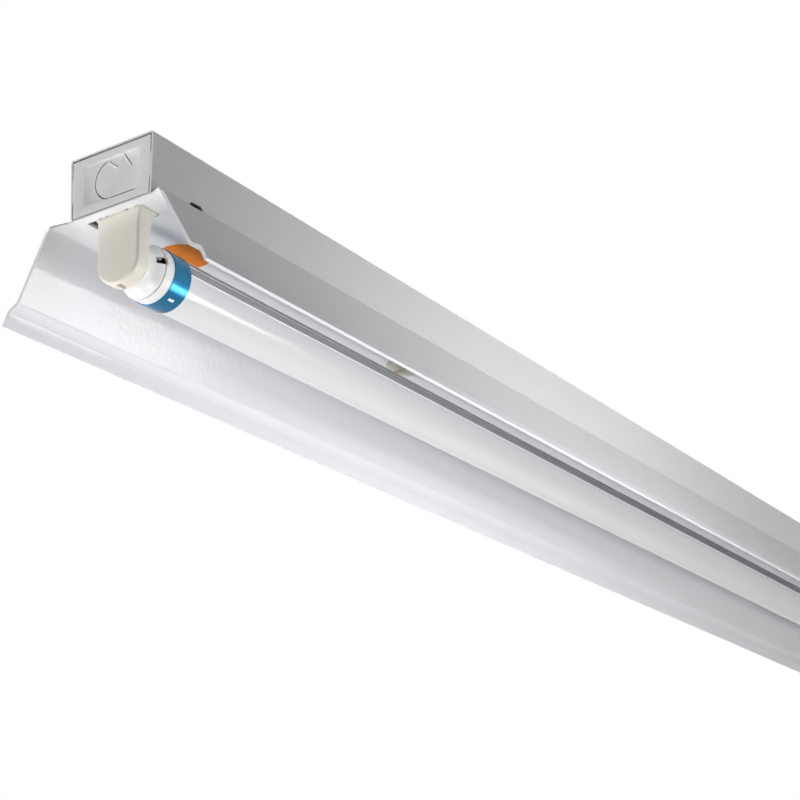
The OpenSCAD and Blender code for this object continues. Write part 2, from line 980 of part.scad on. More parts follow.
// Welded earth stud with its nut, hanging from the channel's top
module earth_stud() {
  color(brass)
    translate([stud_x, 0, -sheet_t]) {
      translate([0, 0, -stud_base_h])
        cylinder(h = stud_base_h, d = stud_base_d);
      translate([0, 0, -stud_len])
        cylinder(h = stud_len, d = stud_d);
      translate([0, 0, -stud_base_h - tag_t - 2 * seat_gap - nut_h])
        cylinder(h = nut_h, d = nut_w / cos(30), $fn = 6);
    }
}

// Wires swept along routes of hand-picked points
function ring_at(path, i, d) =
  let (
    last = len(path) - 1,
    along = unit(path[min(i + 1, last)] - path[max(i - 1, 0)]),
    level = unit(cross(along, [0.2, 0.3, 1])),
    rise = cross(level, along)
  )
  [
    for (k = [0 : wire_sides - 1])
      let (a = 360 * k / wire_sides)
      path[i] + (level * cos(a) + rise * sin(a)) * d / 2
  ];
module swept(path, d) {
  count = len(path);
  rings = [for (i = [0 : count - 1]) each ring_at(path, i, d)];
  walls = [
    for (i = [0 : count - 2], k = [0 : wire_sides - 1])
      let (a = i * wire_sides + k, b = i * wire_sides + (k + 1) % wire_sides)
      each [[a, b, b + wire_sides], [a, b + wire_sides, a + wire_sides]]
  ];
  start = [[for (k = [wire_sides - 1 : -1 : 0]) k]];
  finish = [[for (k = [0 : wire_sides - 1]) (count - 1) * wire_sides + k]];
  polyhedron(rings, concat(walls, start, finish));
}
module lamp_wire() {
  lane_z = -sheet_t - wire_top_gap - wire_d / 2;
  pole_z = -sheet_t - block_hole_drop;
  end_x = -channel_len / 2;
  foot_top = flat_z + foot_rise;
  foot_mid = holder_setback + foot_front + foot_depth / 2;
  pole = pole_y(poles - 1);
  swept([
    [-block_len / 2 + wire_enter, pole, pole_z],
    [-block_len / 2 - 4, pole, pole_z],
    [-block_len / 2 - 12, pole + 3, pole_z + 3],
    [-block_len / 2 - 24, wire_lane - 2, lane_z - 2],
    [-block_len / 2 - 36, wire_lane, lane_z],
    [end_x + 44, wire_lane, lane_z],
    [end_x + 28, wire_lane, lane_z - 1],
    [end_x + 18, wire_lane, lane_z - 4],
    [end_x + 12, wire_lane - 3, lane_z - 8],
    [end_x + foot_mid, pin_spacing / 2 + 4, foot_top + 7],
    [end_x + foot_mid, pin_spacing / 2 + 0.6, foot_top + 4],
    [end_x + foot_mid, pin_spacing / 2, foot_top + 1],
    [end_x + foot_mid, pin_spacing / 2, foot_top - wire_enter]
  ], wire_d);
}
module wire_live() {
  color("saddlebrown")
    lamp_wire();
}
module wire_neutral() {
  color("royalblue")
    rotate([0, 0, 180])
      lamp_wire();
}
module wire_earth() {
  pole_z = -sheet_t - block_hole_drop;
  tag_z = -sheet_t - stud_base_h - seat_gap - tag_t;
  color("olivedrab") {
    swept([
      [block_len / 2 - wire_enter, 0, pole_z],
      [block_len / 2 + 5, 0, pole_z],
      [block_len / 2 + 12, 0, pole_z + 2],
      [stud_x - tag_d / 2 - tag_neck - 6, 0, tag_z - 1],
      [stud_x - tag_d / 2 - tag_neck - 2, 0, tag_z + tag_t / 2],
      [stud_x - tag_d / 2 - 1, 0, tag_z + tag_t / 2]
    ], wire_d);
    translate([stud_x, 0, tag_z])
      difference() {
        union() {
          cylinder(h = tag_t, d = tag_d);
          translate([-tag_d / 2 - tag_neck, -tag_neck_w / 2, 0])
            cube([tag_d / 2 + tag_neck, tag_neck_w, tag_t]);
        }
        translate([0, 0, -cut])
          cylinder(h = tag_t + 2 * cut, d = stud_d + 2 * seat_gap);
      }
  }
}

// Plain round sticker on the underside of the flat
module round_sticker() {
  color(sticker_orange)
    at_near_end()
      translate([sticker_inset, sticker_offset, flat_z - sheet_t - sticker_t])
        cylinder(h = sticker_t, d = sticker_d);
}

// Extruded metal back of the lamp: a fluted half round with a platform across it
module above(level) {
  translate([-lamp_d, level])
    square([2 * lamp_d, lamp_d]);
}
body_len = lamp_len - 2 * cap_len;
module tube_heat_sink() {
  color(bare_aluminium)
    translate([0, 0, lamp_z])
      full_length(body_len)
        difference() {
          intersection() {
            circle(d = lamp_d);
            above(seam_rise);
          }
          intersection() {
            circle(d = lamp_d - 2 * back_wall);
            above(seam_rise + platform_t);
          }
          for (a = groove_angles)
            rotate([0, 0, a])
              translate([lamp_r, 0])
                circle(d = groove_d, $fn = 16);
        }
}

// Frosted cover that closes the underside of the lamp
module tube_diffuser() {
  outer_d = lamp_d - 2 * diffuser_step;
  bead_z = seam_rise - bead_r;
  color(frosted)
    translate([0, 0, lamp_z]) {
      full_length(body_len)
        difference() {
          circle(d = outer_d);
          circle(d = outer_d - 2 * diffuser_wall);
          above(seam_rise);
        }
      on_both_sides()
        full_length(body_len - 2 * (ring_len + seat_gap))
          translate([sqrt(pow(outer_d / 2, 2) - pow(bead_z, 2)), bead_z])
            circle(r = bead_r, $fn = 16);
    }
}

// Moulded cap: narrow neck, cone, groove, flange, a small notch and two pin holes
module lamp_cap() {
  neck_r = lamp_r - neck_step;
  body_r = lamp_r - body_step;
  flange_x = cap_len - cap_flange_len;
  outline = [
    [0, 0],
    [neck_r - edge_round / 2, 0],
    [neck_r, edge_round / 2],
    [neck_r, neck_len],
    [body_r, neck_len + cap_cone_len],
    [body_r, flange_x - cap_groove_w],
    [body_r - cap_groove_depth, flange_x - cap_groove_w],
    [body_r - cap_groove_depth, flange_x],
    [lamp_r, flange_x],
    [lamp_r, cap_len],
    [lamp_r - cap_wall, cap_len],
    [lamp_r - cap_wall, flange_x],
    [neck_r - cap_wall, flange_x],
    [neck_r - cap_wall, cap_wall],
    [0, cap_wall]
  ];
  translate([holder_inner + lamp_end_gap, 0, lamp_z])
    difference() {
      rotate([0, 90, 0])
        rotate_extrude()
          polygon(outline);
      rotate([-cap_notch_angle, 0, 0])
        translate([-cut, -lamp_r - cut, -cap_notch_w / 2])
          cube([
            flange_x + cap_notch_past + cut,
            lamp_r - neck_r + cap_notch_step + cut,
            cap_notch_w
          ]);
      rotate([-cap_notch_angle, 0, 0])
        translate([flange_x - cap_window_len, -lamp_r, -cap_window_w / 2])
          cube([
            cap_window_len + cap_notch_past / 2,
            lamp_r - neck_r + 2 * cap_wall,
            cap_window_w
          ]);
      for (y = [-1, 1])
        translate([-cut, y * pin_spacing / 2, 0])
          rotate([0, 90, 0])
            cylinder(h = cap_wall + 2 * cut, d = pin_d + 2 * pin_gap);
    }
}
module tube_cap_near() {
  color(warm_white)
    at_near_end()
      lamp_cap();
}
module tube_cap_far() {
  color(warm_white)
    at_far_end()
      lamp_cap();
}

// Coloured metal ring sleeved over the end of the lamp's body
module lamp_ring() {
  translate([holder_inner + lamp_end_gap + cap_len, 0, lamp_z])
    rotate([0, 90, 0])
      difference() {
        cylinder(h = ring_len, d = lamp_d + 2 * (ring_gap + ring_t));
        translate([0, 0, -cut])
          cylinder(h = ring_len + 2 * cut, d = lamp_d + 2 * ring_gap);
      }
}
module tube_ring_near() {
  color(ring_blue)
    at_near_end()
      lamp_ring();
}
module tube_ring_far() {
  color(ring_blue)
    at_far_end()
      lamp_ring();
}

// Round-nosed contact pins
module lamp_pins() {
  translate([holder_inner + lamp_end_gap, 0, lamp_z])
    for (y = [-1, 1])
      translate([0, y * pin_spacing / 2, 0])
        rotate([0, 90, 0]) {
          translate([0, 0, pin_tip - pin_len])
            cylinder(h = pin_len - pin_tip + pin_root, d = pin_d);
          translate([0, 0, -pin_len])
            cylinder(h = pin_tip, d1 = pin_d - 2 * pin_tip, d2 = pin_d);
        }
}
module tube_pins_near() {
  color(brass)
    at_near_end()
      lamp_pins();
}
module tube_pins_far() {
  color(brass)
    at_far_end()
      lamp_pins();
}

// Light board under the platform, its light chips, and the small driver above it
board_len = body_len - 2 * board_margin;
module tube_led_board() {
  color(board_white)
    translate([-board_len / 2, -board_w / 2, lamp_z + seam_rise - board_t])
      cube([board_len, board_w, board_t]);
}
module tube_leds() {
  count = floor(board_len / led_pitch);
  color("gold")
    for (i = [0 : count - 1])
      translate([
        (i - (count - 1) / 2) * led_pitch,
        0,
        lamp_z + seam_rise - board_t - led_size[2] / 2
      ])
        cube(led_size, center = true);
}
module tube_driver() {
  start = -body_len / 2 + board_margin;
  low = lamp_z + seam_rise + platform_t;
  color(board_green) {
    translate([start, -driver_w / 2, low])
      cube([driver_len, driver_w, driver_t]);
    translate([start + part_step / 2, -coil_size[1] / 2, low + driver_t])
      cube(coil_size);
    for (i = [1, 2])
      translate([start + i * part_step + part_step / 2, 0, low + driver_t + capacitor_d / 2])
        rotate([0, 90, 0])
          cylinder(h = capacitor_len, d = capacitor_d);
  }
}

channel_housing();
end_plate_near();
end_plate_far();
end_plate_rivets();
holder_bracket_near();
holder_bracket_far();
lampholder_body_near();
lampholder_body_far();
lampholder_contacts_near();
lampholder_contacts_far();
lampholder_rotor_near();
lampholder_rotor_far();
reflector();
latch_bridge_near();
latch_bridge_far();
latch_near();
latch_far();
terminal_block();
terminal_screws();
earth_stud();
wire_live();
wire_neutral();
wire_earth();
round_sticker();
tube_heat_sink();
tube_diffuser();
tube_cap_near();
tube_cap_far();
tube_ring_near();
tube_ring_far();
tube_pins_near();
tube_pins_far();
tube_led_board();
tube_leds();
tube_driver();
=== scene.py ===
import json
import math

import bmesh
import bpy
from mathutils import Matrix, Vector


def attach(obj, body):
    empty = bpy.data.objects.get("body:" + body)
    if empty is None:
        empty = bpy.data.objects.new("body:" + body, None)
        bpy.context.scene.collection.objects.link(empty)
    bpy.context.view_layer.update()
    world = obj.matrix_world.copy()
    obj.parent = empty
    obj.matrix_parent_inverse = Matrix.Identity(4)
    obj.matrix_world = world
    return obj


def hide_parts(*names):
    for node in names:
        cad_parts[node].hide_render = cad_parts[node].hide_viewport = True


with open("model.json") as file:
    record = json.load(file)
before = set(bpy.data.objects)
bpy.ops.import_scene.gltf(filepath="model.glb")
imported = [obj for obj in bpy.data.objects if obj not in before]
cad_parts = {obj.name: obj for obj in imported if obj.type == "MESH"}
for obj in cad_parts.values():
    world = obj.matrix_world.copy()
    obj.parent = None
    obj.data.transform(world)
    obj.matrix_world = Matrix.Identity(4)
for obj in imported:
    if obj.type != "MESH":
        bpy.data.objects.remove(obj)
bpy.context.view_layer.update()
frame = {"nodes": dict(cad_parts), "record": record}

scene = bpy.context.scene
scene.view_settings.view_transform = "Standard"

# ---------------------------------------------------------------- sizes, in metres
LAMP_AXIS_Z = -0.0531
CHANNEL_HALF = 0.6133
# SEAM_RISE, BEAD_LOW and BEAD_BLUR place the band of painted highlight on the bead below the
# lamp's seam
SEAM_RISE = 0.0016
BEAD_LOW = 0.0008
BEAD_BLUR = 0.0001
WELD_DISTANCE = 0.00001
SHARP_ANGLE = math.radians(32)

# ---------------------------------------------------------------- camera
CAMERA_PLACE = (-1.14011, -0.48436, -0.39502)
CAMERA_HEADING = math.radians(-57.3273)
CAMERA_TILT = math.radians(110.9565)
CAMERA_ROLL = math.radians(-2.0279)
CAMERA_LENS = 81.41
SENSOR_WIDTH = 36

camera_data = bpy.data.cameras.new("camera")
camera_data.sensor_width = SENSOR_WIDTH
camera_data.lens = CAMERA_LENS
camera = bpy.data.objects.new("camera", camera_data)
scene.collection.objects.link(camera)
camera.matrix_world = (
    Matrix.Translation(CAMERA_PLACE)
    @ Matrix.Rotation(CAMERA_HEADING, 4, "Z")
    @ Matrix.Rotation(CAMERA_TILT, 4, "X")
    @ Matrix.Rotation(CAMERA_ROLL, 4, "Z")
)
scene.camera = camera


# ---------------------------------------------------------------- node helpers
class Board:
    """Adds nodes to a tree and links them."""

    def __init__(self, tree):
        self.tree = tree

    def add(self, kind, settings=(), **inputs):
        node = self.tree.nodes.new(kind)
        for name, value in dict(settings).items():
            setattr(node, name, value)
        for name, value in inputs.items():
            self.feed(node.inputs[name.replace("_", " ")], value)
        return node

    def feed(self, socket, value):
        if isinstance(value, bpy.types.NodeSocket):
            self.tree.links.new(value, socket)
        else:
            socket.default_value = value

    def sum(self, operation, *values):
        node = self.tree.nodes.new("ShaderNodeMath")
        node.operation = operation
        for socket, value in zip(node.inputs, values):
            self.feed(socket, value)
        return node.outputs[0]

    def blend(self, share, low, high, mode="MIX"):
        node = self.tree.nodes.new("ShaderNodeMix")
        node.data_type = "RGBA"
        node.blend_type = mode
        self.feed(node.inputs[0], share)
        self.feed(node.inputs[6], low)
        self.feed(node.inputs[7], high)
        return node.outputs[2]

    def tinted(self, color, level):
        """A colour times a grey level."""
        grey = self.tree.nodes.new("ShaderNodeCombineColor")
        for socket in grey.inputs:
            self.feed(socket, level)
        return self.blend(1.0, color, grey.outputs[0], mode="MULTIPLY")

    def between(self, value, start, end, low=0.0, high=1.0):
        node = self.add(
            "ShaderNodeMapRange",
            {"interpolation_type": "SMOOTHSTEP"},
            From_Min=start,
            From_Max=end,
            To_Min=low,
            To_Max=high,
        )
        self.feed(node.inputs[0], value)
        return node.outputs[0]

    def noise(self, vector, scale, detail=2.0, roughness=0.5):
        node = self.add(
            "ShaderNodeTexNoise", Vector=vector, Scale=scale, Detail=detail, Roughness=roughness
        )
        return node.outputs[0]


def new_group(name, inputs, outputs):
    """A shader node group with named inputs and outputs."""
    group = bpy.data.node_groups.new(name, "ShaderNodeTree")
    kinds = {"vector": "NodeSocketVector", "value": "NodeSocketFloat", "color": "NodeSocketColor"}
    for socket_name, kind, value in inputs:
        socket = group.interface.new_socket(
            name=socket_name, in_out="INPUT", socket_type=kinds[kind]
        )
        if value is not None:
            socket.default_value = value
    for socket_name, kind in outputs:
        group.interface.new_socket(name=socket_name, in_out="OUTPUT", socket_type=kinds[kind])
    board = Board(group)
    enter = group.nodes.new("NodeGroupInput").outputs
    leave = group.nodes.new("NodeGroupOutput").inputs
    return group, board, enter, leave


# ---------------------------------------------------------------- shared effects
CLOUD_SHARE = 0.7
FINE_SHARE = 0.3
FINE_TO_CLOUD = 9.0
GLOSS_SWING = 0.25
LEAST_ROUGHNESS = 0.02
WAVE_TO_PEEL = 0.06
DUST_PATCH_SCALE = 45.0
FLOW_SCALE = 60.0
MARK_TURN = (0.35, 0.6, 0.9)
MARK_STRETCH = (1, 14, 14)
MARK_PATCH_SCALE = 22.0


def make_paint_mottle():
    """Cloudy change in a sprayed coat's colour and gloss."""
    group, board, enter, leave = new_group(
        "Paint Mottle",
        [
            ("Vector", "vector", None),
            ("Color", "color", (0.8, 0.8, 0.8, 1)),
            ("Scale", "value", 12.0),
            ("Spread", "value", 0.04),
            ("Roughness", "value", 0.4),
        ],
        [("Color", "color"), ("Roughness", "value")],
    )
    cloud = board.noise(enter["Vector"], enter["Scale"], detail=3.0)
    fine_scale = board.sum("MULTIPLY", enter["Scale"], FINE_TO_CLOUD)
    fine = board.noise(enter["Vector"], fine_scale, detail=2.0)
    both = board.sum(
        "ADD", board.sum("MULTIPLY", cloud, CLOUD_SHARE), board.sum("MULTIPLY", fine, FINE_SHARE)
    )
    centred = board.sum("SUBTRACT", both, 0.5)
    swing = board.sum("MULTIPLY", centred, board.sum("MULTIPLY", enter["Spread"], 2.0))
    level = board.sum("ADD", swing, 1.0)
    board.feed(leave["Color"], board.tinted(enter["Color"], level))
    rough = board.sum("MULTIPLY_ADD", centred, GLOSS_SWING, enter["Roughness"])
    board.feed(leave["Roughness"], board.sum("MAXIMUM", rough, LEAST_ROUGHNESS))
    return group


def make_orange_peel():
    """Low rounded bumps of an enamel coat."""
    group, board, enter, leave = new_group(
        "Orange Peel",
        [("Vector", "vector", None), ("Scale", "value", 260.0), ("Waviness", "value", 0.4)],
        [("Height", "value")],
    )
    peel = board.noise(enter["Vector"], enter["Scale"], detail=1.0)
    wave_scale = board.sum("MULTIPLY", enter["Scale"], WAVE_TO_PEEL)
    wave = board.noise(enter["Vector"], wave_scale, detail=0.0)
    lift = board.sum("MULTIPLY", wave, enter["Waviness"])
    board.feed(leave["Height"], board.sum("ADD", peel, lift))
    return group


def make_dust_film():
    """Dust that settles on faces that look up, in patches."""
    group, board, enter, leave = new_group(
        "Dust Film",
        [
            ("Vector", "vector", None),
            ("Normal", "vector", None),
            ("Color", "color", (0.8, 0.8, 0.8, 1)),
            ("Dust Color", "color", (0.5, 0.47, 0.42, 1)),
            ("Amount", "value", 0.3),
        ],
        [("Color", "color")],
    )
    parts = board.add("ShaderNodeSeparateXYZ", Vector=enter["Normal"])
    upward = board.between(parts.outputs["Z"], 0.3, 0.95)
    cloud = board.noise(enter["Vector"], DUST_PATCH_SCALE, detail=5.0, roughness=0.65)
    patch = board.between(cloud, 0.3, 0.7)
    mask = board.sum("MULTIPLY", board.sum("MULTIPLY", upward, patch), enter["Amount"])
    board.feed(leave["Color"], board.blend(mask, enter["Color"], enter["Dust Color"]))
    return group


def make_drawn_lines():
    """Long fine lines that an extruding die leaves along X."""
    group, board, enter, leave = new_group(
        "Drawn Lines",
        [("Vector", "vector", None), ("Lines", "value", 900.0), ("Length", "value", 4.0)],
        [("Height", "value"), ("Mask", "value")],
    )
    parts = board.add("ShaderNodeSeparateXYZ", Vector=enter["Vector"])
    along = board.sum("MULTIPLY", parts.outputs["X"], enter["Length"])
    across = board.sum("MULTIPLY", parts.outputs["Y"], enter["Lines"])
    up = board.sum("MULTIPLY", parts.outputs["Z"], enter["Lines"])
    stretched = board.add("ShaderNodeCombineXYZ", X=along, Y=across, Z=up)
    lines = board.noise(stretched.outputs[0], 1.0, detail=3.0, roughness=0.6)
    board.feed(leave["Height"], lines)
    board.feed(leave["Mask"], board.between(lines, 0.42, 0.62))
    return group


def make_moulded_grain():
    """Fine pebble of a moulded face with slow flow marks."""
    group, board, enter, leave = new_group(
        "Moulded Grain",
        [
            ("Vector", "vector", None),
            ("Color", "color", (0.8, 0.8, 0.8, 1)),
            ("Scale", "value", 900.0),
            ("Spread", "value", 0.05),
        ],
        [("Color", "color"), ("Height", "value"), ("Flow", "value")],
    )
    pebble = board.add("ShaderNodeTexVoronoi", Vector=enter["Vector"], Scale=enter["Scale"])
    flow = board.noise(enter["Vector"], FLOW_SCALE, detail=2.0)
    level = board.sum(
        "MULTIPLY_ADD", board.sum("SUBTRACT", flow, 0.5), enter["Spread"], 1.0
    )
    board.feed(leave["Color"], board.tinted(enter["Color"], level))
    board.feed(leave["Height"], pebble.outputs["Distance"])
    board.feed(leave["Flow"], flow)
    return group


def make_rub_marks():
    """Sparse fine scratches, as a mask."""
    group, board, enter, leave = new_group(
        "Rub Marks",
        [("Vector", "vector", None), ("Scale", "value", 60.0), ("Amount", "value", 0.3)],
        [("Mask", "value")],
    )
    turned = board.add(
        "ShaderNodeMapping", Vector=enter["Vector"], Rotation=MARK_TURN, Scale=MARK_STRETCH
    )
    streak = board.noise(turned.outputs[0], enter["Scale"], detail=2.0)
    thin = board.between(streak, 0.66, 0.72)
    patch = board.between(board.noise(enter["Vector"], MARK_PATCH_SCALE), 0.45, 0.7)
    board.feed(
        leave["Mask"],
        board.sum("MULTIPLY", board.sum("MULTIPLY", thin, patch), enter["Amount"]),
    )
    return group


PAINT_MOTTLE = make_paint_mottle()
ORANGE_PEEL = make_orange_peel()
DUST_FILM = make_dust_film()
DRAWN_LINES = make_drawn_lines()
MOULDED_GRAIN = make_moulded_grain()
RUB_MARKS = make_rub_marks()


class Finish(Board):
    """One material: its Principled shader, object coordinates and shared effects."""

    def __init__(self, name, **constants):
        self.material = bpy.data.materials.new(name)
        self.material.use_nodes = True
        super().__init__(self.material.node_tree)
        self.shader = self.tree.nodes["Principled BSDF"]
        places = self.tree.nodes.new("ShaderNodeTexCoord")
        self.place = places.outputs["Object"]
        self.normal = places.outputs["Normal"]
        for socket_name, value in constants.items():
            self.shader.inputs[socket_name.replace("_", " ")].default_value = value

    def effect(self, group, **inputs):
        node = self.tree.nodes.new("ShaderNodeGroup")
        node.node_tree = group
        if "Vector" not in inputs:
            inputs["Vector"] = self.place
        for name, value in inputs.items():
            self.feed(node.inputs[name.replace("_", " ")], value)
        return node.outputs

    def paint(self, **sockets):
        for name, value in sockets.items():
            self.feed(self.shader.inputs[name.replace("_", " ")], value)

    def bump(self, height, depth):
        node = self.add("ShaderNodeBump", Height=height, Distance=depth, Strength=1.0)
        return node.outputs[0]

    def dusted(self, color, amount):
        film = self.effect(DUST_FILM, Normal=self.normal, Color=color, Amount=amount)
        return film["Color"]


def rgb(red, green, blue):
    return (red, green, blue, 1.0)


# ---------------------------------------------------------------- colours
CHANNEL_WHITE = rgb(0.785, 0.785, 0.78)
CHANNEL_SCUFF = rgb(0.55, 0.55, 0.55)
ENAMEL_WHITE = rgb(0.8, 0.81, 0.83)
ENAMEL_SCUFF = rgb(0.6, 0.6, 0.6)
ZINC_GREY = rgb(0.55, 0.56, 0.57)
BRASS_YELLOW = rgb(0.72, 0.55, 0.26)
BRASS_WORN = rgb(0.45, 0.33, 0.15)
STICKER_ORANGE = rgb(0.78, 0.22, 0.008)
STICKER_WORN = rgb(0.85, 0.36, 0.08)
ALUMINIUM_GREY = rgb(0.46, 0.465, 0.475)
ALUMINIUM_STREAK = rgb(0.55, 0.555, 0.565)
COVER_WHITE = rgb(0.71, 0.715, 0.725)
# Painted highlight: the lighter colour of the bead under the lamp's seam
BEAD_HIGHLIGHT_WHITE = rgb(0.93, 0.93, 0.93)
CAP_WHITE = rgb(0.82, 0.815, 0.8)
RING_BLUE = rgb(0.012, 0.195, 0.38)
TICK_WHITE = rgb(0.85, 0.86, 0.87)
HOLDER_IVORY = rgb(0.78, 0.74, 0.65)
BLOCK_WHITE = rgb(0.76, 0.75, 0.72)
LIVE_BROWN = rgb(0.13, 0.05, 0.02)
NEUTRAL_BLUE = rgb(0.02, 0.09, 0.4)
EARTH_GREEN = rgb(0.07, 0.26, 0.04)
BOARD_WHITE = rgb(0.8, 0.8, 0.76)
BOARD_TRACK = rgb(0.6, 0.6, 0.5)
DRIVER_GREEN = rgb(0.02, 0.12, 0.05)
DRIVER_TRACK = rgb(0.05, 0.25, 0.1)
PHOSPHOR_YELLOW = rgb(0.8, 0.62, 0.16)
FLOOR_WHITE = rgb(0.86, 0.86, 0.86)
STUDIO_WHITE = rgb(1, 1, 1)

# ---------------------------------------------------------------- depths of bumps, in metres
PAINT_PEEL = 0.00012
ENAMEL_PEEL = 0.00008
SHEET_LINES = 0.00002
DIE_LINES = 0.00003
PLASTIC_GRAIN = 0.00003
GLOSSY_GRAIN = 0.00001
RING_LINES = 0.000008

# ---------------------------------------------------------------- finishes
ENAMEL_BACK_EXTRA_ROUGHNESS = 0.33
STREAK_SHARE = 0.35
RING_METAL = 0.85


def white_paint():
    """Satin powder coat of the channel and its end plates."""
    finish = Finish("white_paint", Specular_IOR_Level=0.35)
    coat = finish.effect(
        PAINT_MOTTLE, Color=CHANNEL_WHITE, Scale=14.0, Spread=0.035, Roughness=0.42
    )
    rubbed = finish.effect(RUB_MARKS, Scale=70.0, Amount=0.08)
    scuffed = finish.blend(rubbed["Mask"], coat["Color"], CHANNEL_SCUFF)
    dusted = finish.dusted(scuffed, 0.22)
    peel = finish.effect(ORANGE_PEEL, Scale=320.0, Waviness=1.6)
    finish.paint(
        Base_Color=dusted,
        Roughness=coat["Roughness"],
        Normal=finish.bump(peel["Height"], PAINT_PEEL),
    )
    return finish.material


def white_gloss_paint():
    """Glossy enamel on the reflector's inner side, satin on its back."""
    finish = Finish("white_gloss_paint", Specular_IOR_Level=0.33)
    facing = finish.add("ShaderNodeSeparateXYZ", Vector=finish.normal)
    back = finish.between(facing.outputs["Z"], 0.0, 0.1)
    coat = finish.effect(
        PAINT_MOTTLE, Color=ENAMEL_WHITE, Scale=9.0, Spread=0.02, Roughness=0.12
    )
    rubbed = finish.effect(RUB_MARKS, Scale=55.0, Amount=0.03)
    scuffed = finish.blend(rubbed["Mask"], coat["Color"], ENAMEL_SCUFF)
    dusted = finish.dusted(scuffed, 0.15)
    peel = finish.effect(ORANGE_PEEL, Scale=420.0, Waviness=0.9)
    rough = finish.sum("MULTIPLY_ADD", back, ENAMEL_BACK_EXTRA_ROUGHNESS, coat["Roughness"])
    finish.paint(
        Base_Color=dusted,
        Roughness=rough,
        Normal=finish.bump(peel["Height"], ENAMEL_PEEL),
    )
    return finish.material


def bare_steel():
    """Zinc plated sheet inside the channel."""
    finish = Finish("bare_steel", Metallic=1.0)
    lines = finish.effect(DRAWN_LINES, Lines=1500.0, Length=40.0)
    coat = finish.effect(
        PAINT_MOTTLE, Color=ZINC_GREY, Scale=80.0, Spread=0.12, Roughness=0.36
    )
    finish.paint(
        Base_Color=coat["Color"],
        Roughness=coat["Roughness"],
        Normal=finish.bump(lines["Height"], SHEET_LINES),
    )
    return finish.material


def moulded(name, color, roughness, spread=0.05, grain=700.0, scatter=0.0):
    """Satin moulded plastic."""
    finish = Finish(name, Subsurface_Weight=scatter, Subsurface_Scale=0.002)
    grained = finish.effect(MOULDED_GRAIN, Color=color, Scale=grain, Spread=spread)
    dusted = finish.dusted(grained["Color"], 0.1)
    rough = finish.sum(
        "MULTIPLY_ADD", finish.sum("SUBTRACT", grained["Flow"], 0.5), 0.2, roughness
    )
    finish.paint(
        Base_Color=dusted,
        Roughness=rough,
        Normal=finish.bump(grained["Height"], PLASTIC_GRAIN),
    )
    return finish.material


def contact_brass():
    """Brass of pins, contacts, screws and stud."""
    finish = Finish("contact_brass", Metallic=1.0)
    coat = finish.effect(
        PAINT_MOTTLE, Color=BRASS_YELLOW, Scale=160.0, Spread=0.15, Roughness=0.3
    )
    rubbed = finish.effect(RUB_MARKS, Scale=300.0, Amount=0.5)
    finish.paint(
        Base_Color=finish.blend(rubbed["Mask"], coat["Color"], BRASS_WORN),
        Roughness=coat["Roughness"],
    )
    return finish.material


def orange_sticker():
    """Plain printed film, with a little wear."""
    finish = Finish("orange_sticker", Specular_IOR_Level=0.12)
    coat = finish.effect(
        PAINT_MOTTLE, Color=STICKER_ORANGE, Scale=120.0, Spread=0.08, Roughness=0.38
    )
    rubbed = finish.effect(RUB_MARKS, Scale=220.0, Amount=0.35)
    finish.paint(
        Base_Color=finish.blend(rubbed["Mask"], coat["Color"], STICKER_WORN),
        Roughness=coat["Roughness"],
    )
    return finish.material


def lamp_aluminium():
    """Extruded back of the lamp, with die lines along it."""
    finish = Finish("lamp_aluminium", Metallic=1.0)
    lines = finish.effect(DRAWN_LINES, Lines=2200.0, Length=5.0)
    coat = finish.effect(
        PAINT_MOTTLE, Color=ALUMINIUM_GREY, Scale=30.0, Spread=0.08, Roughness=0.34
    )
    streaked = finish.blend(
        finish.sum("MULTIPLY", lines["Mask"], STREAK_SHARE), coat["Color"], ALUMINIUM_STREAK
    )
    finish.paint(
        Base_Color=streaked,
        Roughness=coat["Roughness"],
        Normal=finish.bump(lines["Height"], DIE_LINES),
    )
    return finish.material


def frosted_cover():
    """Frosted underside of the lamp, with a painted highlight: a lighter band along the bead
    under the seam.
    """
    finish = Finish("frosted_cover", Coat_Roughness=0.07)
    parts = finish.add("ShaderNodeSeparateXYZ", Vector=finish.place)
    height = finish.sum("SUBTRACT", parts.outputs["Z"], LAMP_AXIS_Z)
    # Painted highlight: the band on the bead between BEAD_LOW and SEAM_RISE is painted lighter,
    # standing in for the light its rounded lip catches
    above_low = finish.between(height, BEAD_LOW, BEAD_LOW + BEAD_BLUR)
    below_seam = finish.between(height, SEAM_RISE, SEAM_RISE + BEAD_BLUR, 1.0, 0.0)
    bead_highlight = finish.sum("MULTIPLY", above_low, below_seam)
    grained = finish.effect(MOULDED_GRAIN, Color=COVER_WHITE, Scale=1400.0, Spread=0.02)
    lines = finish.effect(DRAWN_LINES, Lines=500.0, Length=2.0)
    rough = finish.sum("MULTIPLY_ADD", lines["Height"], 0.08, 0.26)
    finish.paint(
        Base_Color=finish.blend(bead_highlight, grained["Color"], BEAD_HIGHLIGHT_WHITE),
        Roughness=rough,
        Coat_Weight=0.55,
        Normal=finish.bump(grained["Height"], GLOSSY_GRAIN),
    )
    return finish.material


def white_cap():
    """Glossy moulded lamp cap."""
    finish = Finish("white_cap", Coat_Roughness=0.15)
    grained = finish.effect(MOULDED_GRAIN, Color=CAP_WHITE, Scale=500.0, Spread=0.04)
    finish.paint(
        Base_Color=grained["Color"],
        Roughness=finish.sum("MULTIPLY_ADD", grained["Flow"], 0.15, 0.26),
        Coat_Weight=0.2,
        Normal=finish.bump(grained["Height"], GLOSSY_GRAIN),
    )
    return finish.material


TICK_MIDDLE = 0.0335
TICK_HALF_LENGTH = 0.0016
TICK_HALF_WIDTH = 0.045
TICK_ANGLE = math.radians(-60)


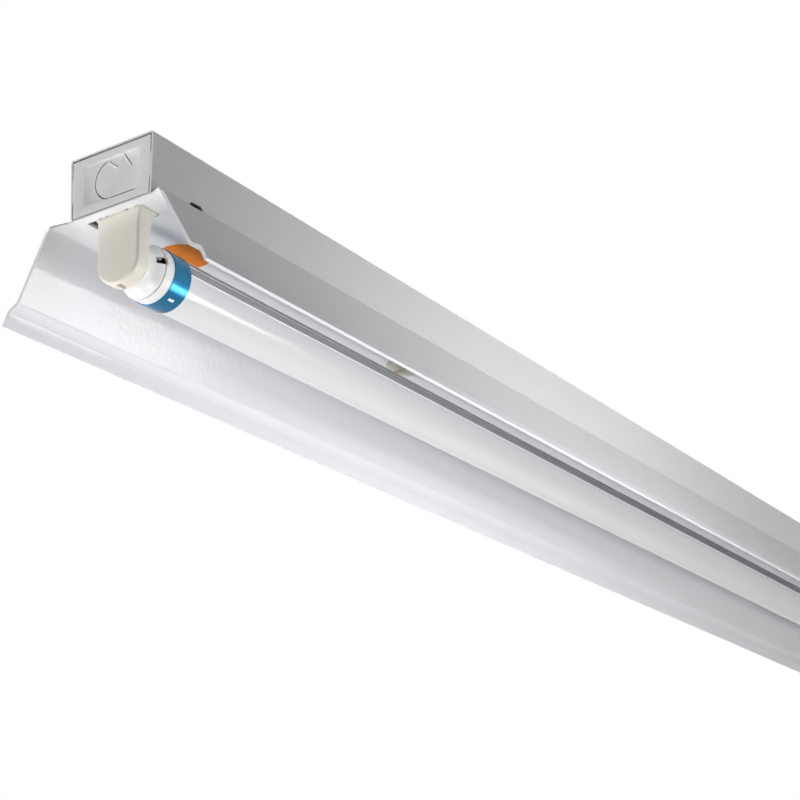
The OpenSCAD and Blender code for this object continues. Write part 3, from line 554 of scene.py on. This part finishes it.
def blue_ring():
    """Anodised ring at each end of the lamp, with a short white setting tick."""
    finish = Finish("blue_ring", Coat_Weight=0.35, Coat_Roughness=0.16)
    parts = finish.add("ShaderNodeSeparateXYZ", Vector=finish.place)
    height = finish.sum("SUBTRACT", parts.outputs["Z"], LAMP_AXIS_Z)
    angle = finish.sum("ARCTAN2", height, finish.sum("MULTIPLY", parts.outputs["Y"], -1.0))
    off_angle = finish.sum("ABSOLUTE", finish.sum("SUBTRACT", angle, TICK_ANGLE))
    from_end = finish.sum(
        "SUBTRACT", CHANNEL_HALF, finish.sum("ABSOLUTE", parts.outputs["X"])
    )
    off_middle = finish.sum("ABSOLUTE", finish.sum("SUBTRACT", from_end, TICK_MIDDLE))
    in_angle = finish.between(off_angle, TICK_HALF_WIDTH, TICK_HALF_WIDTH * 1.15, 1.0, 0.0)
    in_length = finish.between(off_middle, TICK_HALF_LENGTH, TICK_HALF_LENGTH * 1.1, 1.0, 0.0)
    tick = finish.sum("MULTIPLY", in_angle, in_length)
    coat = finish.effect(
        PAINT_MOTTLE, Color=RING_BLUE, Scale=90.0, Spread=0.06, Roughness=0.26
    )
    turned = finish.add(
        "ShaderNodeMapping", Vector=finish.place, Rotation=(0, 0, math.radians(90))
    )
    lines = finish.effect(DRAWN_LINES, Vector=turned.outputs[0], Lines=2600.0, Length=30.0)
    finish.paint(
        Base_Color=finish.blend(tick, coat["Color"], TICK_WHITE),
        Metallic=finish.sum("MULTIPLY_ADD", tick, -RING_METAL, RING_METAL),
        Roughness=coat["Roughness"],
        Normal=finish.bump(lines["Height"], RING_LINES),
    )
    return finish.material


def printed_board(name, color, track_color, roughness):
    """Coated circuit board with fine copper marks under the coat."""
    finish = Finish(name)
    coat = finish.effect(
        PAINT_MOTTLE, Color=color, Scale=200.0, Spread=0.08, Roughness=roughness
    )
    cells = finish.add(
        "ShaderNodeTexVoronoi", {"feature": "DISTANCE_TO_EDGE"}, Vector=finish.place, Scale=260.0
    )
    track = finish.between(cells.outputs["Distance"], 0.02, 0.05, 0.5, 0.0)
    finish.paint(
        Base_Color=finish.blend(track, coat["Color"], track_color),
        Roughness=coat["Roughness"],
    )
    return finish.material


def light_chip():
    """Light chip: yellow phosphor window in a pale body."""
    finish = Finish("light_chip", Coat_Roughness=0.05)
    grained = finish.effect(MOULDED_GRAIN, Color=PHOSPHOR_YELLOW, Scale=2500.0, Spread=0.1)
    finish.paint(
        Base_Color=grained["Color"],
        Roughness=finish.sum("MULTIPLY_ADD", grained["Flow"], 0.1, 0.2),
        Coat_Weight=0.8,
    )
    return finish.material


FINISHES = {
    "white_paint": white_paint(),
    "white_gloss_paint": white_gloss_paint(),
    "bare_steel": bare_steel(),
    "ivory_plastic": moulded("ivory_plastic", HOLDER_IVORY, 0.36, scatter=0.1),
    "white_plastic": moulded("white_plastic", BLOCK_WHITE, 0.34),
    "contact_brass": contact_brass(),
    "brown_insulation": moulded("brown_insulation", LIVE_BROWN, 0.4, grain=1500.0),
    "blue_insulation": moulded("blue_insulation", NEUTRAL_BLUE, 0.4, grain=1500.0),
    "green_insulation": moulded("green_insulation", EARTH_GREEN, 0.4, grain=1500.0),
    "orange_sticker": orange_sticker(),
    "lamp_aluminium": lamp_aluminium(),
    "frosted_cover": frosted_cover(),
    "white_cap": white_cap(),
    "blue_ring": blue_ring(),
    "light_board": printed_board("light_board", BOARD_WHITE, BOARD_TRACK, 0.35),
    "light_chip": light_chip(),
    "driver_board": printed_board("driver_board", DRIVER_GREEN, DRIVER_TRACK, 0.4),
}

# ---------------------------------------------------------------- pieces
SLOT_OF = {row["node"]: row["material_slot"] for row in frame["record"]["subparts"]}
BODY_OF = {
    node: body for body, nodes in frame["record"]["behaviour"]["bodies"].items() for node in nodes
}
# Nodes whose round faces are shaded smooth on a merged copy
SMOOTHED = [
    "channel_housing", "end_plate_near", "end_plate_far", "end_plate_rivets", "reflector",
    "holder_bracket_near", "holder_bracket_far", "lampholder_body_near", "lampholder_body_far",
    "lampholder_rotor_near", "lampholder_rotor_far", "latch_near", "latch_far",
    "tube_heat_sink", "tube_diffuser", "tube_cap_near", "tube_cap_far", "tube_ring_near",
    "tube_ring_far", "tube_pins_near", "tube_pins_far", "wire_live", "wire_neutral",
    "wire_earth", "round_sticker",
]


def finish_piece(piece, slot_name, body):
    """Puts a piece in the scene with its finish, slot and body."""
    piece.data.materials.clear()
    piece.data.materials.append(FINISHES[slot_name])
    scene.collection.objects.link(piece)
    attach(piece, body)


def smooth_copy(node):
    """A merged copy of a CAD node, smooth over its round faces and sharp at its edges."""
    mesh = frame["nodes"][node].data.copy()
    form = bmesh.new()
    form.from_mesh(mesh)
    bmesh.ops.remove_doubles(form, verts=form.verts, dist=WELD_DISTANCE)
    form.to_mesh(mesh)
    form.free()
    mesh.name = node + "_finished"
    stored_normals = mesh.attributes.get("custom_normal")
    if stored_normals:
        mesh.attributes.remove(stored_normals)
    mesh.shade_smooth()
    mesh.set_sharp_from_angle(angle=SHARP_ANGLE)
    piece = bpy.data.objects.new(node + "_finished", mesh)
    finish_piece(piece, SLOT_OF[node], BODY_OF[node])
    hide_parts(node)


for node, cad_object in frame["nodes"].items():
    if node in SMOOTHED:
        smooth_copy(node)
    else:
        for slot in cad_object.material_slots:
            slot.material = FINISHES[SLOT_OF[node]]

# ---------------------------------------------------------------- floor, world and lights
FLOOR_Z = -2.3
FLOOR_SIZE = 14.0
FLOOR_GLOW = 0.5
AMBIENT_LEVEL = 0.03
BACKDROP_LEVEL = 1.0


def seen_rays(board):
    """1 on the rays of the camera, of reflections and of clear parts; 0 on those that light."""
    paths = board.tree.nodes.new("ShaderNodeLightPath").outputs
    mirrored = board.sum("MAXIMUM", paths["Is Glossy Ray"], paths["Is Transmission Ray"])
    return board.sum("MAXIMUM", paths["Is Camera Ray"], mirrored)


def make_floor():
    form = bmesh.new()
    bmesh.ops.create_grid(form, x_segments=1, y_segments=1, size=FLOOR_SIZE)
    bmesh.ops.translate(form, verts=form.verts, vec=(0, 0, FLOOR_Z))
    mesh = bpy.data.meshes.new("floor")
    form.to_mesh(mesh)
    form.free()
    floor = bpy.data.objects.new("floor", mesh)
    finish = Finish("floor_paper")
    coat = finish.effect(
        PAINT_MOTTLE, Color=FLOOR_WHITE, Scale=1.5, Spread=0.01, Roughness=0.85
    )
    finish.paint(
        Base_Color=coat["Color"],
        Roughness=coat["Roughness"],
        Emission_Color=STUDIO_WHITE,
        Emission_Strength=finish.sum("MULTIPLY", seen_rays(finish), FLOOR_GLOW),
    )
    mesh.materials.append(finish.material)
    scene.collection.objects.link(floor)


make_floor()


def make_world():
    world = bpy.data.worlds.new("studio")
    world.use_nodes = True
    board = Board(world.node_tree)
    background = world.node_tree.nodes["Background"]
    gain = BACKDROP_LEVEL - AMBIENT_LEVEL
    strength = board.sum("MULTIPLY_ADD", seen_rays(board), gain, AMBIENT_LEVEL)
    background.inputs["Color"].default_value = STUDIO_WHITE
    board.feed(background.inputs["Strength"], strength)
    scene.world = world


make_world()

# Name, place, point aimed at, width, height, watts and beam spread of each soft lamp
SOFT_LAMPS = [
    ("front_low_lamp", (0.1, -1.1, -0.7), (0.1, 0.0, -0.05), 1.2, 0.3, 2.0, 180),
    ("highlight_lamp", (0.108, -0.703, -0.523), (-0.55, 0.0, -0.05), 0.34, 0.34, 2.35, 180),
    ("middle_lamp", (-0.3, -0.4, -0.12), (-0.25, 0.0, -0.04), 0.3, 0.12, 0.44, 120),
    ("under_lamp", (-0.6, -0.5, -1.3), (-0.55, 0.0, -0.05), 0.8, 0.5, 1.4, 180),
    ("holder_lamp", (-0.7, -0.25, -0.9), (-0.58, 0.0, -0.05), 0.4, 0.4, 0.35, 60),
    ("end_lamp", (-1.6, 0.9, -0.2), (-0.6, 0.0, -0.04), 0.8, 0.8, 14.8, 180),
    ("left_low_lamp", (-0.47, 0.58, -0.92), (-0.45, 0.0, -0.04), 0.9, 0.4, 6.3, 180),
    ("back_lamp", (0.0, 1.6, 1.2), (0.0, 0.0, -0.02), 1.6, 0.8, 18.0, 180),
    ("far_front_lamp", (1.1, -0.9, 0.1), (0.66, 0.0, -0.03), 0.4, 0.3, 0.5, 40),
    ("far_end_lamp", (2.0, 0.3, 0.2), (0.61, 0.0, -0.03), 0.8, 0.8, 9.0, 180),
]


def make_lamp(name, place, target, width, height, watts, spread):
    data = bpy.data.lights.new(name, "AREA")
    data.shape = "RECTANGLE"
    data.spread = math.radians(spread)
    data.size = width
    data.size_y = height
    data.energy = watts
    lamp = bpy.data.objects.new(name, data)
    lamp.visible_camera = False
    lamp.location = place
    aim = Vector(target) - Vector(place)
    lamp.rotation_euler = aim.to_track_quat("-Z", "Y").to_euler()
    scene.collection.objects.link(lamp)


for row in SOFT_LAMPS:
    make_lamp(*row)
